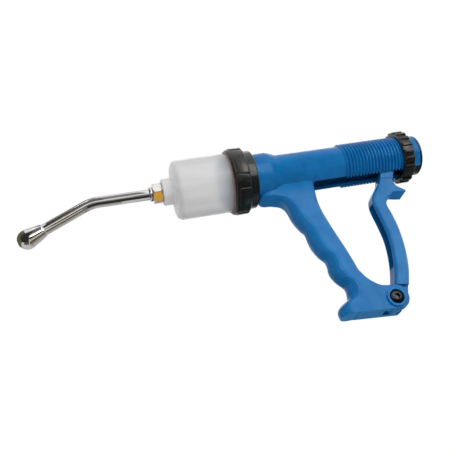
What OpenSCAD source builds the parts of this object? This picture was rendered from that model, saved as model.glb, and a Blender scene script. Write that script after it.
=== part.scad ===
// Livestock drencher: a hand-held gun that squirts a measured dose.
// Frame: X runs along the barrel, nozzle towards -X, +Z is up, and the gun is
// symmetric about Y = 0. The origin lies on the barrel's axis, on the hose tail.

/* [Barrel] */
// Outer radius of the barrel
barrel_r = 23.2; // [22:0.1:25]
// Wall of the barrel
barrel_wall = 2.0; // [1.6:0.1:2.6]
// Length of the barrel, without its boss
barrel_len = 52.4; // [50:0.2:58]
// Thickness of the barrel's front wall
barrel_front_t = 3.0; // [2.5:0.1:4]
// Radius that rounds the barrel's front rim
barrel_rim_r = 4.5; // [3:0.1:6]
// Radius of the front boss
boss_r = 10.4; // [9.8:0.1:12]
// Length of the front boss
boss_len = 8.7; // [8.2:0.1:10]

/* [Barrel ring] */
// Outer radius of the ring's front band
ring_front_r = 25.9; // [25.2:0.1:27]
// Outer radius of the ring's rear band
ring_rear_r = 23.0; // [22:0.1:24]
// Length of the rear band
ring_rear_len = 6.6; // [6:0.1:9]
// How far the ring reaches over the barrel
ring_overlap = 8.7; // [7.5:0.1:10]
// Number of grip lugs round the front band
ring_lugs = 6; // [4:1:8]
// Height of a lug
ring_lug_h = 0.5; // [0.3:0.1:0.8]

/* [Body tube] */
// Outer radius of the tube
tube_r = 16.4; // [15.8:0.1:17]
// Wall of the tube
tube_wall = 2.5; // [2.2:0.1:2.8]
// Distance from the hose tail's origin to the front of the collar
tube_front = 123.1; // [120:0.5:128]
// How far the tube runs behind the origin
tube_tail = 15.9; // [14:0.1:18]
// How far the collar behind the barrel ring stands out from the tube
collar_rise = 3.2; // [2.5:0.1:3.6]
// Length of the collar's straight part
collar_flat = 11; // [6:0.5:13]
// Length over which it then narrows to the tube
collar_taper = 12; // [8:0.5:16]
// Length of the nose inside the barrel ring
nose_len = 10.9; // [10:0.1:12]
// Thickness of the wall that closes the tube behind the barrel
bulkhead_t = 8; // [6:0.5:9]
// Width of the slot that the lever moves in
slot_w = 15.5; // [15.2:0.1:16.5]
// Distance from the origin to the front end of the slot
slot_front = 77.6; // [74:0.2:79]

/* [Dose thread and nut] */
// Distance from the origin to the front of the thread
thread_front = 49.7; // [46:0.2:54]
// Pitch of the thread
thread_pitch = 2.8; // [2.4:0.1:3.2]
// Height of the thread above the tube
thread_h = 1.3; // [0.8:0.1:1.6]
// Thickness of the dose nut from the thread to the top of its ribs
nut_wall = 3.8; // [3.2:0.1:5]
// Length of the dose nut
nut_len = 9.8; // [8.5:0.1:11]
// Distance of the nut's front face from the origin, towards the nozzle
nut_front = 0.6; // [0:0.1:2]
// Number of ribs round the nut
nut_ribs = 20; // [16:1:24]
// Height of a rib
nut_rib_h = 1.2; // [0.8:0.1:1.6]

/* [Grip] */
// Half of the grip's thickness
grip_half = 9.0; // [8.6:0.1:9.6]
// Depth of the finger grooves, as a share of the drawn depth
groove_depth = 1.0; // [0.7:0.05:1.2]
// How far the flat of the belly lies below the axis
belly_drop = 23.3; // [23:0.1:26]
// Radius that rounds the belly's lower edges
belly_edge = 3.5; // [2:0.1:5]

/* [Pivot] */
// Distance of the lever's pivot below the axis
pivot_drop = 120; // [117:0.5:123]
// Distance of the pivot ahead of the lever's fork
lever_reach = 34.1; // [33:0.1:36]
// Radius of the ears round the pivot
ear_r = 9.7; // [9:0.1:10.2]
// Gap between the ears
fork_gap = 9.0; // [8.6:0.1:9.6]
// Radius of the raised rim round the screw head
rim_r = 7.3; // [7:0.1:7.8]
// Height of that rim
rim_h = 1.4; // [1:0.1:1.8]
// Radius of the screw's shank
screw_r = 3.0; // [2.5:0.1:3.3]
// Radius of the screw's head
screw_head_r = 5.25; // [4.9:0.05:5.5]
// Height of the screw's head
screw_head_h = 3.3; // [3:0.1:3.6]
// Width across the flats of the lock nut
lock_nut_af = 10; // [9.4:0.1:10.6]

/* [Lever] */
// Distance from the pivot to the centre of the lever's fork
fork_arm = 122; // [120:0.2:124]
// Thickness of the lever
lever_t = 14.2; // [13.8:0.1:14.5]
// Wall on each side of the lever's channel
lever_wall = 2.8; // [2.2:0.1:3.4]
// Depth of the lever's channel
channel_d = 4.4; // [3:0.1:5]
// Depth over which the lever's front edges are rounded
lever_round = 3.6; // [2:0.1:4.5]
// Ease of the lever's rear edges
lever_ease = 1.5; // [0.8:0.1:2]
// Radius of the rounded ends of the fork
fork_r = 4.7; // [4.4:0.05:4.75]
// Half width of the fork's stems
stem_half = 3.0; // [2.6:0.1:3.1]
// Outer radius of the bush in the lever's eye
bush_r = 4.6; // [4.2:0.1:5]

/* [Piston and rod] */
// Length of the piston
piston_len = 14; // [12:0.2:17]
// Gap left between piston and barrel at the end of the stroke
end_gap = 0.9; // [0.6:0.1:1.4]
// Outer radius of the rod
rod_r = 3.5; // [3.3:0.05:3.7]
// Radius of the rod's bore
rod_bore_r = 2.2; // [1.8:0.1:2.4]
// Radius of the spool's hub
spool_hub_r = 4.6; // [4.4:0.05:4.7]
// Radius of the spool's flanges
spool_r = 8.0; // [7.8:0.05:8.2]
// Thickness of a spool flange
spool_t = 3.0; // [2.5:0.1:3.4]
// Width of the gap between the flanges
spool_gap = 10.2; // [10:0.05:10.6]
// Length of the piston's rubber ring
seal_len = 3.6; // [3:0.1:4.2]
// Depth of the groove that holds it
seal_depth = 3.0; // [2.5:0.1:3.4]

/* [Return spring] */
// Mean radius of the coils
spring_r = 7.0; // [6.9:0.05:7.1]
// Wire diameter
spring_wire = 1.5; // [1.2:0.05:1.6]
// Number of coils
spring_coils = 17; // [12:1:20]

/* [Valves] */
// Radius of the hole behind the outlet valve
outlet_hole_r = 3.2; // [2.8:0.1:3.6]
// Radius of the outlet valve's disc
outlet_disc_r = 5.4; // [5:0.1:5.6]
// Radius of the outlet valve's chamber and of the adaptor's spigot
chamber_r = 6.6; // [6.3:0.1:7]
// Radius of the inlet valve's disc
inlet_disc_r = 5.4; // [5:0.1:5.8]
// Radius of the inlet valve's chamber in the piston
inlet_chamber_r = 7.5; // [7.2:0.1:8]
// Thickness of a valve disc
disc_t = 1.6; // [1.3:0.1:1.8]
// How far a valve lifts
valve_lift = 1.2; // [0.8:0.1:1.4]

/* [Nozzle] */
// Width across the flats of the hexagon
hex_af = 14.2; // [13.8:0.1:15]
// Length of the hexagon
hex_len = 7.1; // [6:0.1:8.5]
// How far the hexagon is turned from an upright flat, in degrees
hex_turn = 11; // [0:1:29]
// Radius of the bore through the hexagon
adaptor_bore_r = 2.2; // [2:0.1:2.4]
// Thickness of the washer behind it
washer_t = 0.7; // [0.5:0.1:1]
// Radius of the collar on the nozzle tube
nozzle_collar_r = 5.7; // [5.4:0.1:6.4]
// Length of that collar
nozzle_collar_len = 2.8; // [2:0.1:4]
// Outer radius of the nozzle tube
nozzle_r = 4.4; // [4.1:0.1:4.6]
// Wall of the nozzle tube
nozzle_wall = 1.0; // [0.8:0.1:1.2]
// Length of the straight run behind the bend, from the collar
nozzle_run = 38; // [30:0.5:45]
// Angle that the nozzle bends down
nozzle_bend = 24.5; // [15:0.5:30]
// Radius of the bend
nozzle_bend_r = 28; // [20:1:40]
// Length of the run in front of the bend, to the tip
nozzle_reach = 40; // [30:0.5:50]
// Length of the swollen tip
tip_len = 21; // [20:0.5:28]
// Largest radius of the tip
tip_r = 7.6; // [6.5:0.1:8]
// Radius of the tip where it starts
tip_neck_r = 5.2; // [5:0.1:5.6]
// Radius of the hole in the tip
tip_hole_r = 2.4; // [2:0.1:3]

/* [Rear end] */
// Radius of the hose tail
tail_r = 4.5; // [4.2:0.1:5]
// Length of the hose tail
tail_len = 20; // [18:0.5:22]
// How far the tail's shoulder lies ahead of the origin
tail_lead = 1.0; // [0.5:0.1:2]
// Width across the flats of the tail's hexagon
tail_af = 11; // [10:0.1:12]
// Thickness of that hexagon
tail_hex_t = 2.4; // [2:0.1:3]
// Wall of the rear cap round its hole for the hose
cap_wall = 3.9; // [3:0.1:4.5]
// Thickness of the rear cap's flange
cap_flange_t = 2.0; // [1.4:0.1:2.4]
// How far the rear cap reaches into the tube
cap_depth = 12; // [9:0.5:13]

/* [Fits] */
// Radial gap of a running fit
run_gap = 0.06; // [0.03:0.01:0.09]
// Gap between pieces that only meet
seat_gap = 0.04; // [0.02:0.01:0.08]
// Side gap of pieces that move past each other
side_gap = 0.3; // [0.2:0.05:0.4]

/* [Hidden] */
$fn = 96;
eps = 0.01;

blue = "#1e6cac";
black = "#2b2a28";
steel = "#c9cdd0";

// Stations along the barrel's axis
tail_x = -tail_lead;
tail_hex_x = tail_x - tail_hex_t;
spool_rear_x = tail_hex_x - spool_t;
fork_x = spool_rear_x - spool_gap / 2;
spool_front_x = fork_x - spool_gap / 2 - spool_t;
collar_x = -tube_front;
nose_x = collar_x - nose_len;
bulkhead_x = nose_x + bulkhead_t;
ring_x = nose_x - ring_overlap;
ring_step_x = collar_x - ring_rear_len;
barrel_x = nose_x - barrel_len;
boss_x = barrel_x - boss_len;
piston_rear_x = nose_x - 0.5;
piston_x = piston_rear_x - piston_len;
stroke = piston_x - barrel_x - barrel_front_t - end_gap;
seat_x = barrel_x - 1.2;

// The lever's pivot and fork
pivot_x = fork_x - lever_reach;
pivot_z = -pivot_drop;
fork_z = pivot_z + sqrt(fork_arm * fork_arm - lever_reach * lever_reach);
rest_angle = asin(lever_reach / fork_arm);
swing = rest_angle - asin((lever_reach - stroke) / fork_arm);
echo(swing_deg = swing, metres_per_radian = stroke / 1000 / (swing * PI / 180));

// Sizes that follow from the walls and fits
foot_half = grip_half + 0.05;
tube_bore_r = tube_r - tube_wall;
barrel_bore_r = barrel_r - barrel_wall;
cap_hole_r = tube_bore_r - cap_wall;
nose_r = ring_rear_r - 3.1;
collar_r = tube_r + collar_rise;
thread_r = tube_r + thread_h;
nut_r = thread_r + nut_wall;
guide_r = 6.8;
guide_flange_r = 9.2;
guide_flange_t = 2;
spring_front_x = bulkhead_x + guide_flange_t;
hex_x = boss_x - washer_t - hex_len;

// Helpers: a solid turned about the barrel's axis, and a plate cut in side view
module turned(profile) {
    rotate([0, 90, 0]) rotate_extrude() polygon([for (p = profile) [p[1], p[0]]]);
}
module rod_x(x0, x1, r) {
    translate([x0, 0, 0]) rotate([0, 90, 0]) cylinder(h = x1 - x0, r = r);
}
module pipe_x(x0, x1, r, bore) {
    difference() {
        rod_x(x0, x1, r);
        rod_x(x0 - 1, x1 + 1, bore);
    }
}
module hex_bar_x(x0, x1, af) {
    translate([x0, 0, 0]) rotate([0, 90, 0]) cylinder(h = x1 - x0, r = af / sqrt(3), $fn = 6);
}
module pin_y(x, z, y0, y1, r) {
    translate([x, y0, z]) rotate([-90, 0, 0]) cylinder(h = y1 - y0, r = r);
}
module side_plate(outline, y0, y1) {
    translate([0, y1, 0]) rotate([90, 0, 0]) linear_extrude(y1 - y0) polygon(outline);
}

// A smooth line through chosen points
function spline_point(a, b, c, d, t) =
    0.5 * (2 * b + (c - a) * t + (2 * a - 5 * b + 4 * c - d) * t * t + (3 * b - a - 3 * c + d) * t * t * t);
function smooth_line(p, n) = concat(
    [for (i = [0 : len(p) - 2]) for (k = [0 : n - 1])
        spline_point(p[max(i - 1, 0)], p[i], p[i + 1], p[min(i + 2, len(p) - 1)], k / n)],
    [p[len(p) - 1]]);
function arc(cx, cz, r, a0, a1, n) =
    [for (k = [0 : n]) [cx + r * cos(a0 + (a1 - a0) * k / n), cz + r * sin(a0 + (a1 - a0) * k / n)]];

// A slice between a front point and a rear point of the side view. Its front corners
// are quarter ellipses, nose deep and side wide, and its rear corners are eased.
corner_steps = 6;
function slice(front, rear, half, nose, side, ease) = let (
    along = (rear - front) / norm(rear - front),
    depth = norm(rear - front),
    corner = [for (k = [0 : corner_steps]) let (a = 90 * k / corner_steps)
        [nose * (1 - sin(a)), half - side + side * cos(a)]],
    right = concat([[depth, half - ease], [depth - ease, half]], corner),
    left = [for (k = [len(right) - 1 : -1 : 0]) [right[k][0], -right[k][1]]])
    [for (p = concat(right, left)) [front[0] + along[0] * p[0], p[1], front[1] + along[1] * p[0]]];
module loft(slices) {
    count = len(slices[0]);
    sides = [for (k = [0 : len(slices) - 2]) for (j = [0 : count - 1])
        let (m = (j + 1) % count, p = k * count, q = p + count)
        for (f = [[p + j, p + m, q + m], [p + j, q + m, q + j]]) f];
    first = [for (j = [1 : count - 2]) [0, j + 1, j]];
    last = (len(slices) - 1) * count;
    end = [for (j = [1 : count - 2]) [last, last + j, last + j + 1]];
    polyhedron([for (s = slices) for (p = s) p], concat(sides, first, end));
}

// A round wire wound about X, from x0 to x1, as one closed tube
coil_rings = 8;
coil_sides = 6;
function coil_path(x0, x1, r, turns) =
    [for (k = [0 : turns * coil_rings])
        let (a = 360 * k / coil_rings, t = k / (turns * coil_rings))
        [x0 + (x1 - x0) * t, r * cos(a), r * sin(a)]];
function coil_points(path, turns, wire) =
    [for (k = [0 : len(path) - 1]) for (j = [0 : coil_sides - 1])
        let (a = 360 * k / coil_rings, b = 360 * j / coil_sides)
        path[k] + wire / 2 * [sin(b), cos(b) * cos(a), cos(b) * sin(a)]];
function least_gap(path, wire) = min([for (k = [0 : len(path) - coil_rings])
    for (j = [k + coil_rings - 2 : min(k + coil_rings + 2, len(path) - 1)]) norm(path[j] - path[k])]) - wire;
module coil(x0, x1, r, wire, turns) {
    path = coil_path(x0 + wire / 2, x1 - wire / 2, r, turns);
    rings = len(path);
    side_faces = [for (k = [0 : rings - 2]) for (j = [0 : coil_sides - 1])
        let (m = (j + 1) % coil_sides, p = k * coil_sides, q = p + coil_sides)
        for (f = [[p + j, p + m, q + m], [p + j, q + m, q + j]]) f];
    first_cap = [for (j = [1 : coil_sides - 2]) [0, j + 1, j]];
    last = (rings - 1) * coil_sides;
    last_cap = [for (j = [1 : coil_sides - 2]) [last, last + j, last + j + 1]];
    echo(coil_least_gap = least_gap(path, wire));
    polyhedron(coil_points(path, turns, wire), concat(side_faces, first_cap, last_cap));
}

// The body: tube, belly, grip and foot in one moulding
function collar_profile(n) = [for (k = [0 : n])
    [collar_x + collar_flat + collar_taper * k / n, tube_r + collar_rise * (1 + cos(180 * k / n)) / 2]];
thread_turns = floor((thread_front + nut_len - nut_front) / thread_pitch);
function thread_profile() = [for (k = [0 : thread_turns - 1]) for (p = [[0.1, 0], [0.38, 1], [0.62, 1], [0.9, 0]])
    [-thread_front + (k + p[0]) * thread_pitch, tube_r - 0.1 + (thread_h + 0.1) * p[1]]];
module tube_outside() {
    turned(concat(
        [[nose_x, 0], [nose_x, nose_r - 0.6], [nose_x + 0.6, nose_r], [collar_x, nose_r], [collar_x, collar_r]],
        collar_profile(10),
        thread_profile(),
        [[tube_tail - 0.3, tube_r - 0.1], [tube_tail, tube_r - 0.4], [tube_tail, 0]]));
}

// Front and rear edges of the grip in side view, top to bottom; a groove point
// sits behind the ridges next to it. The belly's line runs from the collar to the
// grip: each point has its share of the way and its height above the flat.
root_z = -12;
toe_z = pivot_z - 5.6;
belly_x = collar_x + side_gap;
grip_x = -102.6;
belly_line = [for (p = [[0, 2.6], [0.045, 1.2], [0.13, 0.4], [0.29, 0.05], [0.46, -0.15], [0.61, -0.85],
    [0.76, -2.05], [0.87, -3.7], [0.95, -6]]) [belly_x + (grip_x - belly_x) * p[0], p[1] - belly_drop]];
grip_front_top = [[grip_x, -32.8], [-102.1, -36.5], [-101.4, -42], [-98.1, -49.4],
    [-95 + groove_depth - 1, -54.2], [-94.5, -60], [-93.4, -67], [-90.1, -74.4]];
grip_front_low = [[-40.9 + groove_depth - 1, 40.7], [-40.2, 35.4], [-40.5, 29.5], [-37.3, 22.8],
    [-32.7 + groove_depth - 1, 17], [-32.5, 10.7], [-34.3, 6.6], [-38.6, 4.3], [-42.2, 1.4],
    [-43.6, -2], [-43, -5.6]];
grip_rear_top = [[-77.2, root_z], [-78.4, -22], [-79.2, -30], [-78.6, -40], [-76, -52], [-73, -64]];
grip_rear_low = [[-24.7, 46], [-21.9, 34], [-20.2, 26], [-15.5, 16], [-12, 8], [-12, -5.6]];
function from_pivot(list) = [for (p = list) [pivot_x + p[0], pivot_z + p[1]]];
grip_front = smooth_line(concat(belly_line, grip_front_top, from_pivot(grip_front_low)), 3);
grip_rear = smooth_line(concat(grip_rear_top, from_pivot(grip_rear_low)), 4);
// X of an edge at a height, by straight lines between its points
function edge_x(edge, z, i = 0) =
    i >= len(edge) - 2 || edge[i + 1][1] <= z
        ? edge[i][0] + (edge[i + 1][0] - edge[i][0])
            * (edge[i][1] == edge[i + 1][1] ? 0 : (z - edge[i][1]) / (edge[i + 1][1] - edge[i][1]))
        : edge_x(edge, z, i + 1);
// The slices stand upright under the collar, fan out round the bend and lie flat
// down the grip. The belly's share is 1 at the collar and 0 at the bend, and the
// bend's share is 1 there and 0 where the slices lie flat.
bend = belly_line[7];
flat_z = -42;
fan_z = -9.5;
function belly_share(p) = max(0, (bend[0] - p[0]) / (bend[0] - belly_x));
function bend_share(p) = min(1, max(0, (p[1] - flat_z) / (bend[1] - flat_z)));
function rear_of(p) = let (t = belly_share(p), z = flat_z + (root_z - flat_z) * bend_share(p))
    t > 0 ? [-84 + (belly_x + 86) * t, fan_z]
        : p[1] < flat_z ? [edge_x(grip_rear, p[1]), p[1]] : [edge_x(grip_rear, z), z];
// The belly narrows to its front corners
function half_at(p) = let (t = max(0, belly_share(p) - 0.65) / 0.35)
    grip_half - (grip_half - 5) * (1 - sqrt(1 - min(1, t * t)));
function grip_slice(p) = let (
    rear = rear_of(p),
    round_share = belly_share(p) > 0 ? max(0, 0.25 - belly_share(p)) : 1 - 0.75 * bend_share(p),
    round_r = belly_edge + (grip_half - 0.3 - belly_edge) * round_share)
    slice(p, rear, half_at(p), min(round_r, norm(rear - p) * 0.6), min(round_r, half_at(p) - 0.3), 1.6);
module grip_loft() {
    loft([for (p = grip_front) grip_slice(p)]);
}
module foot() {
    outline = concat(
        from_pivot([[-22, 23], [-22, 8], [-29, 1.5], [-30.5, -5.8]]),
        arc(pivot_x, pivot_z, ear_r, -66, 90, 26),
        smooth_line(from_pivot([[-1, ear_r + 0.1], [-7.8, 10.9], [-13.3, 14.7], [-17.5, 19.4], [-20.6, 25]]), 5));
    difference() {
        union() {
            side_plate(outline, -foot_half, foot_half);
            pin_y(pivot_x, pivot_z, -foot_half - rim_h, foot_half + rim_h, rim_r);
        }
        // The lever's tongue turns between the ears
        pin_y(pivot_x, pivot_z, -fork_gap / 2, fork_gap / 2, ear_r + 3);
        translate([pivot_x, -fork_gap / 2, pivot_z - ear_r - 3]) cube([20, fork_gap, 2 * ear_r + 8]);
    }
}
module gun_body() {
    color(blue) difference() {
        union() {
            tube_outside();
            grip_loft();
            foot();
        }
        rod_x(bulkhead_x, tube_tail + 1, tube_bore_r);
        rod_x(nose_x - 1, bulkhead_x + 1, guide_r + seat_gap);
        slot_cut();
        pin_y(pivot_x, pivot_z, -foot_half - rim_h - 1, foot_half + rim_h + 1, screw_r + seat_gap);
        pin_y(pivot_x, pivot_z, -foot_half - rim_h - 1, -foot_half - rim_h + screw_head_h - 0.5, screw_head_r + 0.35);
        translate([pivot_x, foot_half + rim_h + 1, pivot_z]) rotate([90, 0, 0])
            cylinder(h = lock_depth + 1, r = (lock_nut_af + 0.2) / sqrt(3), $fn = 6);
    }
}
lock_depth = 4;
module slot_cut() {
    corner = 3;
    translate([0, 0, -tube_r - 4]) linear_extrude(tube_r) union() {
        translate([-slot_front + corner, -slot_w / 2]) square([slot_front - corner + tube_tail + 1, slot_w]);
        translate([-slot_front, -slot_w / 2 + corner]) square([corner * 2, slot_w - 2 * corner]);
        for (side = [-1, 1]) translate([-slot_front + corner, side * (slot_w / 2 - corner)]) circle(corner);
    }
}

// The barrel, open at the rear, with the outlet valve's chamber in its boss
module barrel() {
    color("#d4d6d4", 0.6) difference() {
        turned(concat(
            [[boss_x, 0], [boss_x, boss_r - 0.5], [boss_x + 0.5, boss_r], [barrel_x - 1, boss_r],
                [barrel_x, boss_r + 1]],
            [for (p = arc(barrel_x + barrel_rim_r, barrel_r - barrel_rim_r, barrel_rim_r, 180, 90, 8)) p],
            [[nose_x, barrel_r], [nose_x, 0]]));
        turned([[barrel_x + barrel_front_t, 0], [barrel_x + barrel_front_t, barrel_bore_r - 2.5],
            [barrel_x + barrel_front_t + 0.7, barrel_bore_r - 0.7], [barrel_x + barrel_front_t + 2.5, barrel_bore_r],
            [nose_x + 1, barrel_bore_r], [nose_x + 1, 0]]);
        rod_x(boss_x - 1, seat_x, chamber_r);
        rod_x(seat_x - 1, barrel_x + barrel_front_t + 1, outlet_hole_r);
    }
}

// The ring: two bands outside, two bores inside, lugs for the hand
module barrel_ring() {
    lug_angle = 34;
    color(black) difference() {
        union() {
            turned([[ring_x, 0], [ring_x, ring_front_r - 1.2], [ring_x + 1.2, ring_front_r],
                [ring_step_x - 1, ring_front_r], [ring_step_x, ring_front_r - 1],
                [ring_step_x, ring_rear_r], [collar_x - 0.8, ring_rear_r],
                [collar_x, ring_rear_r - 0.8], [collar_x, 0]]);
            for (k = [0 : ring_lugs - 1]) rotate([360 * (k + 0.5) / ring_lugs, 0, 0])
                rotate([0, 90, 0]) translate([0, 0, ring_x + 3])
                    rotate([0, 0, -lug_angle / 2]) rotate_extrude(angle = lug_angle)
                        translate([ring_front_r - 1, 0]) square([1 + ring_lug_h, ring_step_x - ring_x - 4.2]);
        }
        rod_x(ring_x - 1, nose_x, barrel_r + seat_gap);
        rod_x(nose_x - 1, collar_x + 1, nose_r + seat_gap);
    }
}
module barrel_seal() {
    color("#a86a62") pipe_x(ring_x - 0.8, ring_x - eps, barrel_r + 0.9, barrel_r + seat_gap);
}

// The dose nut and the cap behind it
module dose_nut() {
    rib_angle = 8.3;
    nut_x = -nut_front;
    valley_r = nut_r - nut_rib_h;
    color(black) difference() {
        union() {
            turned([[nut_x, 0], [nut_x, valley_r - 0.8], [nut_x + 0.8, valley_r],
                [nut_x + nut_len - 1, valley_r], [nut_x + nut_len, valley_r - 1.2], [nut_x + nut_len, 0]]);
            for (k = [0 : nut_ribs - 1]) rotate([360 * k / nut_ribs, 0, 0])
                rotate([0, 90, 0]) rotate([0, 0, -rib_angle / 2]) rotate_extrude(angle = rib_angle)
                    polygon([[valley_r - 1.6, nut_x + 0.6], [nut_r - 0.6, nut_x + 0.6], [nut_r, nut_x + 1.2],
                        [nut_r, nut_x + nut_len - 1.2], [nut_r - 0.8, nut_x + nut_len - 0.4],
                        [valley_r - 1.6, nut_x + nut_len - 0.4]]);
        }
        rod_x(nut_x - 1, nut_x + nut_len + 1, thread_r + run_gap);
    }
}
module rear_cap() {
    color(black) difference() {
        union() {
            turned([[tube_tail, 0], [tube_tail, tube_r - 0.4], [tube_tail + 0.3, tube_r - 0.1],
                [tube_tail + cap_flange_t - 0.7, tube_r - 0.1], [tube_tail + cap_flange_t, tube_r - 0.8],
                [tube_tail + cap_flange_t, 0]]);
            rod_x(tube_tail - cap_depth, tube_tail + eps, tube_bore_r - seat_gap);
            // The tongue closes the slot, flush with the tube
            intersection() {
                rod_x(tube_tail - cap_depth, tube_tail + eps, tube_r - 0.25);
                translate([tube_tail - cap_depth, -slot_w / 2 + seat_gap, -tube_r])
                    cube([cap_depth + 1, slot_w - 2 * seat_gap, tube_r]);
            }
        }
        rod_x(tube_tail - cap_depth - 1, tube_tail + cap_flange_t + 1, cap_hole_r);
    }
}

// The lever, its bush and the pivot screw. Points of its lower half are measured
// from the pivot, and those of its upper half from the centre of its fork.
function from_fork(list) = [for (p = list) [fork_x + p[0], fork_z + p[1]]];
// Front and rear edges from the step above the eye to the fork
lever_front = smooth_line(concat(
    from_pivot([[3.6, 10.4], [8.3, 23.7], [11.35, 37], [12.75, 50]]),
    from_fork([[-22, -54.1], [-23.2, -43.1], [-23.2, -36.6], [-21.3, -30.4], [-16.2, -24.5], [-11.6, -19.6],
        [-7.4, -11.2]])), 5);
lever_back = smooth_line(concat(
    from_pivot([[14.5, 8.4], [19.3, 21.4], [22.5, 37], [23.65, 52]]),
    from_fork([[-10.75, -55.5], [-11.5, -48.5], [-12.6, -40.6], [-10.2, -36.1], [-5.4, -30.2], [-0.9, -21.7],
        [3.4, -11.2]])), 5);
// The shank is lofted between them up to the neck, whose top is a plate with two stems
// that rise to round ends between the spool's flanges
edge_top = len(lever_front) - 1;
neck_foot = edge_top - 4;
shank_top = edge_top - 2;
function between(line, k) = (line[k] + line[k + 1]) / 2;
neck_outline = concat(
    [between(lever_front, neck_foot)],
    [for (k = [neck_foot + 1 : edge_top]) lever_front[k]],
    from_fork([[-stem_half - 0.9, -8.4], [-stem_half, -4], [stem_half, 0], [stem_half, -4], [stem_half - 0.6, -8.4]]),
    [for (k = [edge_top : -1 : neck_foot + 1]) lever_back[k]],
    [between(lever_back, neck_foot)]);
// The thumb tab behind the neck
tab_outline = from_fork([[-12.5, -34.4], [-7.5, -33.2], [-5.9, -31.9], [-3.1, -30.5], [2.5, -31.6], [6.6, -32.2],
    [6.3, -31], [2.9, -28.6], [0.3, -26.1], [-1.2, -22], [-4, -20.4], [-12.5, -30]]);
lever_eye_r = ear_r - 1.1;
crotch = 12;
tongue_t = fork_gap - 2 * side_gap;
// The shank's front edges are rounded, less and less towards the top of the neck, and
// its end lies inside the plate
module shank() {
    loft([for (k = [shank_top : -1 : 0]) let (
        sunk = 0.04 + 0.2 * max(0, k - neck_foot),
        fade = min(1, max(0.1, (neck_foot + 1 - k) / 8)),
        out = (lever_back[k] - lever_front[k]) / norm(lever_back[k] - lever_front[k]))
        slice(lever_front[k] + sunk * out, lever_back[k] - sunk * out, lever_t / 2 - sunk,
            lever_round * fade, (lever_wall - 0.4) * fade, lever_ease * max(0.3, fade))]);
}
module lever() {
    tongue = from_pivot([[0, 0], [3.2, 9], [6.9, 16], [16.2, 16], [13.8, 7],
        [12.2, 2.5], [11, -1.5], [9, -4.6], [6, -6]]);
    color(blue) difference() {
        union() {
            shank();
            side_plate(neck_outline, -lever_t / 2, lever_t / 2);
            side_plate(tab_outline, -lever_t / 2, lever_t / 2);
            pin_y(fork_x, fork_z, -lever_t / 2, lever_t / 2, fork_r);
            side_plate(tongue, -tongue_t / 2, tongue_t / 2);
            pin_y(pivot_x, pivot_z, -tongue_t / 2, tongue_t / 2, lever_eye_r);
        }
        pin_y(pivot_x, pivot_z, -lever_t, lever_t, bush_r + seat_gap);
        // The spool's hub passes between the stems
        translate([fork_x - 12, -spool_hub_r - 0.4, fork_z - crotch]) cube([24, 2 * spool_hub_r + 0.8, 30]);
        lever_channel();
    }
}
module lever_channel() {
    lower = 5;
    upper = 29;
    mouth = concat([between(lever_front, lower)], [for (k = [lower + 1 : upper]) lever_front[k]],
        [between(lever_front, upper)]);
    front = [for (p = mouth) p + [-3, 0]];
    back = [for (k = [len(mouth) - 1 : -1 : 0]) mouth[k] + [channel_d, 0]];
    side_plate(concat(front, back), -lever_t / 2 + lever_wall, lever_t / 2 - lever_wall);
}
module lever_bush() {
    color("#b9975b") difference() {
        pin_y(pivot_x, pivot_z, -fork_gap / 2 + 0.1, fork_gap / 2 - 0.1, bush_r);
        pin_y(pivot_x, pivot_z, -fork_gap, fork_gap, screw_r + run_gap);
    }
}
screw_seat_y = -foot_half - rim_h + screw_head_h - 0.5;
lock_seat_y = foot_half + rim_h - lock_depth;
module pivot_screw() {
    socket_r = 2.3;
    color(black) difference() {
        union() {
            pin_y(pivot_x, pivot_z, screw_seat_y - eps, lock_seat_y + lock_depth - 0.4, screw_r);
            translate([pivot_x, screw_seat_y, pivot_z]) rotate([90, 0, 0]) rotate_extrude()
                polygon(concat([[0, 0], [screw_head_r, 0], [screw_head_r, 0.7]],
                    [for (a = [20 : 10 : 70]) [screw_head_r * cos(a), 0.7 + (screw_head_h - 0.7) * sin(a) / sin(70)]],
                    [[0, screw_head_h]]));
        }
        translate([pivot_x, screw_seat_y - screw_head_h - 1, pivot_z]) rotate([-90, 0, 0])
            cylinder(h = 3, r = socket_r, $fn = 6);
    }
}
module pivot_nut() {
    color(steel) difference() {
        translate([pivot_x, lock_seat_y + lock_depth, pivot_z]) rotate([90, 0, 0])
            cylinder(h = lock_depth, r = lock_nut_af / sqrt(3), $fn = 6);
        pin_y(pivot_x, pivot_z, 0, 2 * foot_half, screw_r + seat_gap);
    }
}

// The piston with its seal and inlet valve, the rod and what it carries
seal_x = piston_x + 2;
inlet_seat_x = piston_x + 7;
cage_t = 1.4;
rod_front_x = inlet_seat_x + 1.5;
module piston_head() {
    head_r = barrel_bore_r - side_gap;
    skirt_r = head_r - 4.2;
    color("#8d97a1") difference() {
        turned([[piston_x, 0], [piston_x, head_r - 1], [piston_x + 1, head_r], [seal_x, head_r],
            [seal_x, head_r - seal_depth], [seal_x + seal_len, head_r - seal_depth], [seal_x + seal_len, head_r],
            [seal_x + seal_len + 2, head_r], [seal_x + seal_len + 2, skirt_r], [piston_rear_x, skirt_r],
            [piston_rear_x, 0]]);
        rod_x(piston_x - 1, inlet_seat_x, inlet_chamber_r);
        rod_x(inlet_seat_x - 1, rod_front_x + 1, rod_bore_r);
        rod_x(rod_front_x, piston_rear_x + 1, rod_r + seat_gap);
    }
}
module piston_seal() {
    groove_r = barrel_bore_r - side_gap - seal_depth;
    color("#4c5a62")
        pipe_x(seal_x + seat_gap, seal_x + seal_len - seat_gap, barrel_bore_r - run_gap, groove_r + seat_gap);
}
module valve_cage() {
    holes = 6;
    color("#d8d8d2") difference() {
        rod_x(piston_x + 0.1, piston_x + 0.1 + cage_t, inlet_chamber_r - seat_gap);
        for (k = [0 : holes - 1]) rotate([360 * k / holes, 0, 0]) translate([0, 0, 4.8])
            rod_x(piston_x - 1, piston_x + 3, 1.4);
    }
}
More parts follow.
